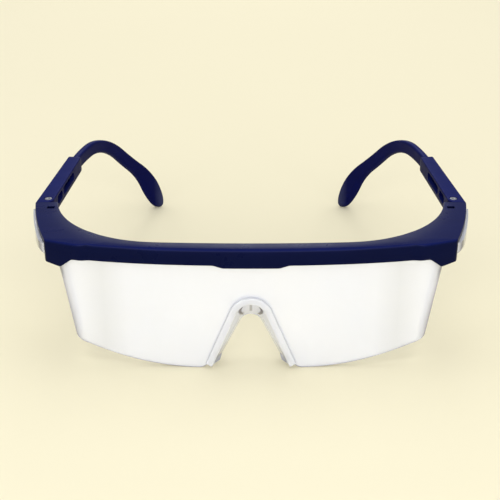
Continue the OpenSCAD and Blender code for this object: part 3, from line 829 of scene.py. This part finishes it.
def rim_face(face):
    """Whether a face of the lens gets the rim's painted shade: the lower edge, the cut-out, the rear ends,
    and the lower part of the corner's turn. All of these faces are small."""
    if face.area >= 1.2e-6:
        return False
    x, y = abs(face.center.x) * 1000, (face.center.y - cad_lo[1]) * 1000
    z = (face.center.z - cad_hi[2]) * 1000
    if y > SHIELD_END_Y - 0.05 and face.normal.y > 0.9:
        return True
    return z < bottom_height(x, y) + RIM + 0.05 and abs(face.normal.z) > 0.12


def make_lens():
    lens = mesh_object("lens_panel", loft(both_sides(lens_half())))
    tab_in = WINDOW_X - WINDOW_W / 2 + TAB_CLEAR
    tab_y0, tab_y1 = WINDOW_Y - WINDOW_L / 2 + TAB_CLEAR, WINDOW_Y + WINDOW_L / 2 - TAB_CLEAR
    arm = box_shape(tab_in, side_x(WINDOW_Y) + TAB_PAST_SIDE, tab_y0, tab_y1,
                    -LENS_TOP - TAB_ARM_T, -LENS_TOP - 0.01, 0.15)
    hook = box_shape(tab_in, tab_in + WINDOW_W - 2 * TAB_CLEAR, tab_y0, tab_y1,
                     -LENS_TOP - TAB_HOOK_DROP, -SHELF_T / 2 + TAB_RISE, 0.2)
    for shape in (arm, hook):
        for side in (1, -1):
            combine(lens, mesh_object("tool", on_side(side, shape)), "UNION")
    finish_piece(lens, "front", ["lens"], [LENS_CLEAR, LENS_EDGE_SHADE], 40)
    # Painted shade: the rim's faces take the grey second material.
    for face in lens.data.polygons:
        if rim_face(face):
            face.material_index = 1
    return lens


make_lens()


# ---------------------------------------------------------------- nose saddle
def saddle_arch(n):
    """Rear edge of the saddle as 3-D points, moved by n towards the nose."""
    r, centre_z, rear_y = SADDLE_R - n, -SADDLE_TOP - SADDLE_R, LENS_Y + SADDLE_DEPTH
    pts = [(r * cos(a), rear_y, centre_z + r * sin(a)) for a in ramp(90, 90 - SADDLE_SLOPE, ARCH_STEPS)]
    x, z = r * sin(SADDLE_SLOPE), centre_z + r * cos(SADDLE_SLOPE)
    run = (SADDLE_END + z) / sin(SADDLE_SLOPE)
    stations = [(run * t, mix(SADDLE_DEPTH, SADDLE_LEG_Y, t)) for t in ramp(0, 1, LEG_STEPS)[1:]]
    stations += [(run + SADDLE_DRAW * t, mix(SADDLE_LEG_Y, SADDLE_FOOT_Y, t))
                 for t in ramp(0, 1, FOOT_STEPS)[1:]]
    for d, y in stations:
        pts.append((x + cos(SADDLE_SLOPE) * d, LENS_Y + y, z - sin(SADDLE_SLOPE) * d))
    return pts


def make_saddle():
    """The clip's channel section round the cut-out's edge, and the sheet from it back to the pads."""
    over, under = nose_arch(-CLIP_OVER, BRIDGE_FOOT_TURN), nose_arch(WEB_T, BRIDGE_FOOT_TURN)
    edge, web = nose_arch(0, BRIDGE_FOOT_TURN), nose_arch(CLIP_GAP, BRIDGE_FOOT_TURN)
    outer = nose_arch(2 * CLIP_GAP, BRIDGE_FOOT_TURN)
    rear, rear_out = saddle_arch(0), saddle_arch(-SADDLE_T)
    clip, sheet = [], []
    for i in range(len(edge)):
        face = brow_y(edge[i][0]) + LENS_Y
        front, back_y = face - CLIP_GAP, face + LENS_T + CLIP_GAP
        (ox, oz), (ux, uz), (wx, wz) = over[i], under[i], web[i]
        section = [
            ((ox, front - CLIP_T, oz), 0.45), ((ux, front - CLIP_T, uz), 0.6),
            ((ux, back_y + CLIP_T, uz), 0.3), ((ox, back_y + CLIP_T, oz), 0.45),
            ((ox, back_y, oz), 0.2), ((wx, back_y, wz), 0.05),
            ((wx, front, wz), 0.05), ((ox, front, oz), 0.2),
        ]
        clip.append(rounded([point for point, _ in section], [radius for _, radius in section], 4))
        face = brow_y(ux) + LENS_Y
        inner_p = Vector((ux, face + SADDLE_INSET, uz))
        outer_p = Vector((outer[i][0], face + LENS_T + SADDLE_BEHIND, outer[i][1]))
        sheet.append(rounded([inner_p, rear[i], rear_out[i], outer_p], [0.1, 0.6, 0.6, 0.1], 4))
    saddle = mesh_object("nose_saddle", loft(both_sides(clip)))
    combine(saddle, mesh_object("tool", loft(both_sides(sheet))), "UNION")
    return finish_piece(saddle, "front", ["nose_bridge"], [SADDLE_CLEAR], 35)


make_saddle()


# ---------------------------------------------------------------- hinge pins
def make_pin(side, name, node):
    """A plain shaft with a rounded head, dished in the middle."""
    low, head_top = -END_H + 0.1, -HEAD_DROP
    head_low = head_top - HEAD_T
    profile = [
        (0.001, low), (PIN_R - 0.2, low), (PIN_R - 0.06, low + 0.06), (PIN_R, low + 0.2),
        (PIN_R, head_low - 0.001),
        (HEAD_R - 0.08, head_low), (HEAD_R, head_low + 0.08), (HEAD_R, head_top - 0.18),
        (HEAD_R - 0.05, head_top - 0.08), (HEAD_R - 0.16, head_top - 0.02), (HEAD_R - 0.4, head_top),
        (0.5, head_top), (0.38, head_top - 0.05), (0.001, head_top - 0.07),
    ]
    pin = mesh_object(name, lathe(profile, (side * PIN_X, PIN_Y), 64))
    return finish_piece(pin, "front", [node], [PIN_STEEL], 40)


# ---------------------------------------------------------------- temple sleeves
def mouth_point(p):
    """A point in the sleeve mouth's own axes, moved to where the open temple is."""
    x, y, z = p
    return (MOUTH_X + x * cos(SLANT) - y * sin(SLANT), MOUTH_Y + x * sin(SLANT) + y * cos(SLANT), z)


def at_mouth(shape):
    verts, faces = shape
    return [mouth_point(v) for v in verts], faces


def sleeve_shell():
    """The sleeve without its openings: round at the knuckle, straight to the mouth, eased at its end."""
    joint_face, knuckle_bevel, full_bevel = JOINT_Y + JOINT_GAP, 1.2, 2.3
    stations = []
    for a in ramp(0, 90, 14):
        y = PIN_Y - KNUCKLE_R * cos(a)
        stations.append((Vector((JOINT_X - (y - joint_face) * math.tan(math.radians(SLANT)), y)),
                         Vector((PIN_X - KNUCKLE_SIDE * sin(a), y))))
    outer, inner = stations[-1]
    mouth_outer = Vector((MOUTH_X, MOUTH_Y))
    mouth_inner = mouth_outer - MOUTH_W * Vector((cos(SLANT), sin(SLANT)))
    for t in ramp(0, 1 - MOUTH_EASE / SLEEVE_L, 24)[1:]:
        stations.append((mix(outer, mouth_outer, t), mix(inner, mouth_inner, t)))

    def ring(outer, inner, inset, y):
        w = (inner - outer).normalized() * inset
        outer, inner = outer + w, inner - w
        bevel = mix(knuckle_bevel, full_bevel, smooth((y - PIN_Y + 1) / 5))
        return rounded([(*outer, -inset), (*inner, -inset), (*inner, inset - END_H), (*outer, inset - END_H)],
                       [0.55, 0.5, bevel, 0.6], 7)

    rings = [ring(outer, inner, 0, outer.y) for outer, inner in stations]
    outer, inner = stations[-1]
    for a in (30, 60, 90):
        step = MOUTH_EASE * sin(a) * Vector((-sin(SLANT), cos(SLANT)))
        rings.append(ring(outer + step, inner + step, MOUTH_EASE * (1 - cos(a)), outer.y))
    return loft(rings)


def slot_shape(span, x0, x1):
    """A slot with round ends, cut between x0 and x1, over the span in y."""
    r = SLOT_H / 2
    outline = ([(span[1] - r + r * cos(a), SLOT_Z + r * sin(a)) for a in ramp(-90, 90, 18)]
               + [(span[0] + r + r * cos(a), SLOT_Z + r * sin(a)) for a in ramp(90, 270, 18)])
    return loft([[(x, y, z) for y, z in outline] for x in (x0, x1)])


def channel_shape():
    """The channel for the shank, flared at the mouth."""
    rings = []
    for y, flare in ((-CHANNEL_L, 0), (-0.4, 0), (-0.2, 0.05), (-0.05, 0.16), (0.02, 0.25), (1, 0.25)):
        w, h = CHANNEL_W / 2 + flare, CHANNEL_H / 2 + flare
        x0, x1, z0, z1 = CHANNEL_X - w, CHANNEL_X + w, CHANNEL_Z - h, CHANNEL_Z + h
        rings.append(rounded([(x0, y, z0), (x1, y, z0), (x1, y, z1), (x0, y, z1)], 0.35, 3))
    return loft(rings)


def make_sleeve(side, body, name, node):
    fork_z, fork_y = TONGUE_Z - TONGUE_T / 2 - FORK_GAP, PIN_Y + TONGUE_R + FORK_DEPTH
    x0, x1 = PIN_X - FORK_REACH, PIN_X + FORK_REACH
    fork = prism([(x0, JOINT_Y - 1), (x1, JOINT_Y - 1), (x1, fork_y), (x0, fork_y)],
                 fork_z, fork_z + TONGUE_T + 2 * FORK_GAP, 0.01)
    bore = lathe([(PIN_R + PIN_CLEAR, -END_H - 1), (PIN_R + PIN_CLEAR, 1)], (PIN_X, PIN_Y), 64)
    seat_r, seat_bevel, past_top = HEAD_R + HEAD_GAP, 0.12, 0.02
    rim_r = seat_r + seat_bevel + past_top
    seat = lathe([(seat_r, -HEAD_T - HEAD_DROP - HEAD_GAP), (seat_r, -seat_bevel), (rim_r, past_top),
                  (rim_r, 1)], (PIN_X, PIN_Y), 64)
    slots = [at_mouth(slot_shape(span, -14, CHANNEL_X)) for span in (LONG_SLOT, SHORT_SLOT)]
    sleeve = mesh_object(name, on_side(side, sleeve_shell()))
    for shape in (fork, bore, seat, at_mouth(channel_shape()), *slots):
        combine(sleeve, mesh_object("tool", on_side(side, shape)), "DIFFERENCE")
    return finish_piece(sleeve, body, [node], [TEMPLE_NAVY])


# ---------------------------------------------------------------- temple arms
def bend_line(y, z, r, start, turn, h0, h1, n):
    """An arc of the ear piece's middle line from (y, z), as (y, z, heading, height) at each step."""
    return [(y + r * (sin(start + turn * t) - sin(start)), z - r * (cos(start) - cos(start + turn * t)),
             start + turn * t, mix(h0, h1, t)) for t in ramp(0, 1, n)]


def ear_line():
    """Middle line of the ear piece as (y, z, heading below level, height)."""
    neck = [(y, CHANNEL_Z, 0, NECK_H) for y in ramp(ARM_START, NECK_L, 16)[:-1]]
    bend = bend_line(NECK_L, CHANNEL_Z, BEND_R, 0, BEND_ANGLE, NECK_H, BEND_H, 28)
    y, z = bend[-1][:2]
    drop = [(y + DROP_L * cos(BEND_ANGLE) * t, z - DROP_L * sin(BEND_ANGLE) * t, BEND_ANGLE, BEND_H)
            for t in ramp(0, 1, 5)[1:]]
    hook = bend_line(*drop[-1][:2], HOOK_R, BEND_ANGLE, HOOK_ANGLE, BEND_H, TIP_H, 22)
    return neck + bend + drop + hook[1:]


def shank_rings():
    """Sections of the shank from its eased end to the ear piece, with its notches cut in one side."""
    half_w, half_h = CHANNEL_W / 2 - ARM_FIT, CHANNEL_H / 2 - ARM_FIT
    notches = [-SHANK_L + NOTCH_FIRST + i * NOTCH_PITCH for i in range(NOTCHES)]

    def ring(y, inset=0.0):
        cut = max([0.0] + [math.sqrt(NOTCH_R**2 - (y - n) ** 2) for n in notches if abs(y - n) < NOTCH_R])
        w, h = half_w - inset, half_h - inset
        x0, x1, z0, z1 = CHANNEL_X - w + cut, CHANNEL_X + w, CHANNEL_Z - h, CHANNEL_Z + h
        return rounded([(x1, y, z1), (x0, y, z1), (x0, y, z0), (x1, y, z0)], 0.3, 5)

    ends = [ring(-SHANK_L + SHANK_EASE * (1 - cos(a)), SHANK_EASE * (1 - sin(a))) for a in (0, 30, 60)]
    beside = (0.18, 0.35, 0.5, 0.58, 0.6001)
    ys = sorted(round(n + d, 4) for n in notches for d in (0, *beside, *(-b for b in beside)))
    ys += ramp(ys[-1] + 0.8, 0.1, 8) + [ARM_START - 0.02]
    return ends + [ring(-SHANK_L + SHANK_EASE)] + [ring(y) for y in ys]


def ear_ring(y, z, heading, half_h, half_t):
    """Rounded section across the ear piece; its thickness is measured along the plan's radius."""
    corners = [(half_t, half_h, 0), (-half_t, half_h, 0), (-half_t, -half_h, 0), (half_t, -half_h, 0)]
    ring = []
    for u, v, _ in rounded(corners, min(1.25, half_t * 0.85), 5):
        py, pz = y + v * sin(heading), z + v * cos(heading)
        ring.append((CHANNEL_X - EAR_R + math.sqrt((EAR_R + u) ** 2 - py * py), py, pz))
    return ring


def past_tip(along, across):
    """Point past the end of the ear piece's middle line, along it and square to it."""
    y, z = ear_line()[-1][:2]
    return (y + along * cos(TIP_TURN) + across * sin(TIP_TURN),
            z - along * sin(TIP_TURN) + across * cos(TIP_TURN))


def tip_rings():
    """Sections of the rounded end, which is lower than the middle line and thins out in its last part."""
    rings = []
    for a in ramp(0, 78, 20)[1:] + [81, 84, 86, 88, 89.3]:
        along = TIP_L * sin(a)
        top = TIP_LOW - TIP_H / 2 + (TIP_H - TIP_LOW) * cos(a)
        low = TIP_LOW - TIP_H / 2 - TIP_LOW * cos(a)
        y, z = past_tip(along, (top + low) / 2)
        thin = EAR_T / 2 * math.sqrt(1 - 0.85 * max(0, 1 - (TIP_L - along) / TIP_THIN_L) ** 2)
        rings.append(ear_ring(y, z, TIP_TURN, (top - low) / 2, thin))
    return rings


def arm_shape():
    (y, z, heading, h), *line = ear_line()
    ease = 0.3
    start = []
    for a in (0, 30, 60, 90):
        inset = ease * (1 - sin(a))
        start.append(ear_ring(y + ease * (1 - cos(a)), z, heading, h / 2 - inset, EAR_T / 2 - inset))
    ear = [ear_ring(y, z, heading, h / 2, EAR_T / 2) for y, z, heading, h in line]
    return loft(shank_rings() + start + ear + tip_rings())


def make_arm(side, body, name, node):
    arm = mesh_object(name, on_side(side, at_mouth(arm_shape())))
    return finish_piece(arm, body, [node], [TEMPLE_NAVY])


for side, word in ((1, "left"), (-1, "right")):
    make_pin(side, "pin_" + word, "hinge_pin_" + word)
    make_sleeve(side, "sleeve_" + word, "sleeve_" + word + "_shell", "temple_sleeve_" + word)
    make_arm(side, "arm_" + word, "arm_" + word + "_piece", "temple_arm_" + word)


# ---------------------------------------------------------------- floor, light and camera
def make_floor():
    """A wide cream backdrop; it is stage only."""
    m = Nodes("floor_paint")
    tone = m.blend(m.ranged(m.noise(3, 2), 0.3, 0.7, 0, 1), (0.86, 0.80, 0.588), (0.87, 0.81, 0.598))
    m.link(tone, m.bsdf.inputs["Base Color"])
    m.set(Roughness=0.9, Specular_IOR_Level=0.1)
    mesh = bpy.data.meshes.new("floor")
    mesh.from_pydata([(-4, -4, 0), (4, -4, 0), (4, 4, 0), (-4, 4, 0)], [], [(0, 1, 2, 3)])
    mesh.materials.append(m.mat)
    floor = bpy.data.objects.new("floor", mesh)
    bpy.context.scene.collection.objects.link(floor)
    return floor


floor = make_floor()


def softbox(name, location, target, size, power):
    """A rectangular area lamp at location, turned towards target."""
    data = bpy.data.lights.new(name, "AREA")
    data.shape, data.size, data.size_y = "RECTANGLE", size[0], size[1]
    data.energy = power
    lamp = bpy.data.objects.new(name, data)
    lamp.location = location
    lamp.rotation_euler = (Vector(target) - Vector(location)).to_track_quat("-Z", "Y").to_euler()
    bpy.context.scene.collection.objects.link(lamp)


softbox("top_box", location=(0.0, 0.1, 1.1), target=(0, 0, 0), size=(2.0, 1.8), power=9.0)
softbox("back_box", location=(0.0, 0.95, 0.5), target=(0, 0, 0.03), size=(0.3, 0.5), power=1.3)
softbox("front_box", location=(0.0, -1.2, 0.4), target=(0, 0, 0.02), size=(1.6, 0.7), power=14.5)

world = bpy.data.worlds.new("studio")
world.use_nodes = True
sky = world.node_tree.nodes["Background"].inputs
sky["Color"].default_value = (0.97, 0.98, 1.0, 1)
sky["Strength"].default_value = 0.5
bpy.context.scene.world = world
bpy.context.scene.view_settings.view_transform = "Standard"

# The camera stands ahead of the frame's front top edge and above it, and looks down by its pitch.
CAMERA_SIDE, CAMERA_AHEAD, CAMERA_UP, CAMERA_PITCH = -0.3, -314.6, 153.4, 26
camera_data = bpy.data.cameras.new("camera")
camera_data.lens, camera_data.sensor_width = 78.1, 36
camera_data.clip_start, camera_data.clip_end = 0.01, 20
camera = bpy.data.objects.new("camera", camera_data)
camera.location = row((CAMERA_SIDE, CAMERA_AHEAD, CAMERA_UP))
camera.rotation_euler = (math.radians(90 - CAMERA_PITCH), 0, 0)
bpy.context.scene.collection.objects.link(camera)
bpy.context.scene.camera = camera
